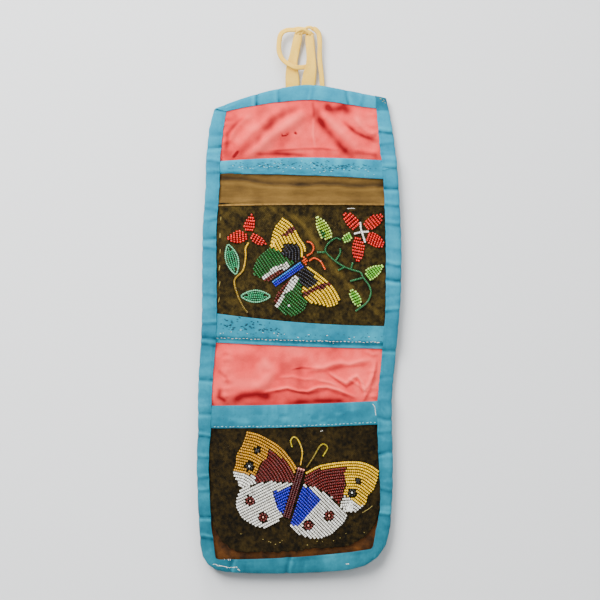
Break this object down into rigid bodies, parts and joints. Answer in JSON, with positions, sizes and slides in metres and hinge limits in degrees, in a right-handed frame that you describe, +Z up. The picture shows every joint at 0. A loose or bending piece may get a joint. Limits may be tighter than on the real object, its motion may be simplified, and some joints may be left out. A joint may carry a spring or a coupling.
{
  "type": "beaded wall pouch",
  "caption": "Hanging cloth wall pouch with open velvet pockets worked in seed bead butterflies and flowers, bound in tape, on a tied cotton hanger.",
  "frame": {"origin": "where the hanger's knot takes the nail, on the plane of the wall", "axes": "+Z up, -Y out of the wall towards the room, +X to the right of somebody who faces the pouch"},
  "size_m": [0.1273, 0.0155, 0.3396],
  "materials": {
    "pink_cotton": "plain woven cotton, matte and crumpled",
    "binding_tape": "soft sky-blue cotton tape, matte, darker towards the bottom",
    "ribbed_cloth": "brown cloth with fine ribs, matte",
    "velvet": "worn dark olive-brown velvet, short pile",
    "hanger_tape": "cream cotton tape, matte",
    "yellow_beads": "opaque glossy seed beads",
    "black_beads": "opaque glossy seed beads",
    "green_beads": "glossy seed beads",
    "white_beads": "opaque glossy seed beads",
    "dark_red_beads": "glossy seed beads",
    "blue_beads": "glossy seed beads",
    "orange_beads": "opaque glossy seed beads",
    "red_beads": "opaque glossy seed beads",
    "mint_beads": "opaque glossy seed beads",
    "light_green_beads": "opaque glossy seed beads",
    "maroon_beads": "glossy seed beads",
    "olive_beads": "glossy seed beads"
  },
  "bodies": {
    "root": {"back_cover": "pink_cotton", "pink_lining": "pink_cotton", "edge_binding": "binding_tape", "top_binding": "binding_tape", "upper_pocket_cloth": "ribbed_cloth", "upper_pocket_velvet": "velvet", "upper_pocket_facing": "ribbed_cloth", "upper_mouth_binding": "binding_tape", "upper_seam_tape": "binding_tape", "lower_pocket_cloth": "ribbed_cloth", "lower_pocket_velvet": "velvet", "lower_mouth_binding": "binding_tape", "hanger_left_leg": "hanger_tape", "hanger_right_leg": "hanger_tape", "hanger_knot": "hanger_tape", "hanger_left_tail": "hanger_tape", "hanger_right_tail": "hanger_tape", "upper_left_forewing_yellow": "yellow_beads", "upper_left_forewing_black": "black_beads", "upper_left_hindwing_green": "green_beads", "upper_left_hindwing_white": "white_beads", "upper_left_hindwing_red": "dark_red_beads", "upper_right_forewing_yellow": "yellow_beads", "upper_right_forewing_black": "black_beads", "upper_right_hindwing_green": "green_beads", "upper_right_hindwing_white": "white_beads", "upper_right_hindwing_red": "dark_red_beads", "upper_butterfly_body": "blue_beads", "upper_butterfly_head": "dark_red_beads", "upper_left_antenna": "orange_beads", "upper_right_antenna": "orange_beads", "left_flower_top_petal": "red_beads", "left_flower_left_petal": "red_beads", "left_flower_right_petal": "red_beads", "left_flower_stem": "yellow_beads", "left_flower_high_leaf": "mint_beads", "left_flower_low_leaf": "mint_beads", "right_flower_upper_left_petal": "red_beads", "right_flower_upper_right_petal": "red_beads", "right_flower_right_petal": "red_beads", "right_flower_lower_petal": "red_beads", "spray_top_bud": "light_green_beads", "spray_small_bud": "light_green_beads", "spray_right_bud": "light_green_beads", "spray_low_bud": "light_green_beads", "right_flower_cross": "white_beads", "spray_stem": "green_beads", "lower_left_forewing_ochre": "yellow_beads", "lower_left_forewing_red": "dark_red_beads", "lower_left_forewing_white": "white_beads", "lower_left_hindwing_white": "white_beads", "lower_left_hindwing_blue": "blue_beads", "lower_right_forewing_ochre": "yellow_beads", "lower_right_forewing_red": "dark_red_beads", "lower_right_forewing_white": "white_beads", "lower_right_hindwing_white": "white_beads", "lower_right_hindwing_blue": "blue_beads", "lower_butterfly_body": "maroon_beads", "lower_left_antenna": "olive_beads", "lower_right_antenna": "olive_beads"}
  },
  "joints": []
}
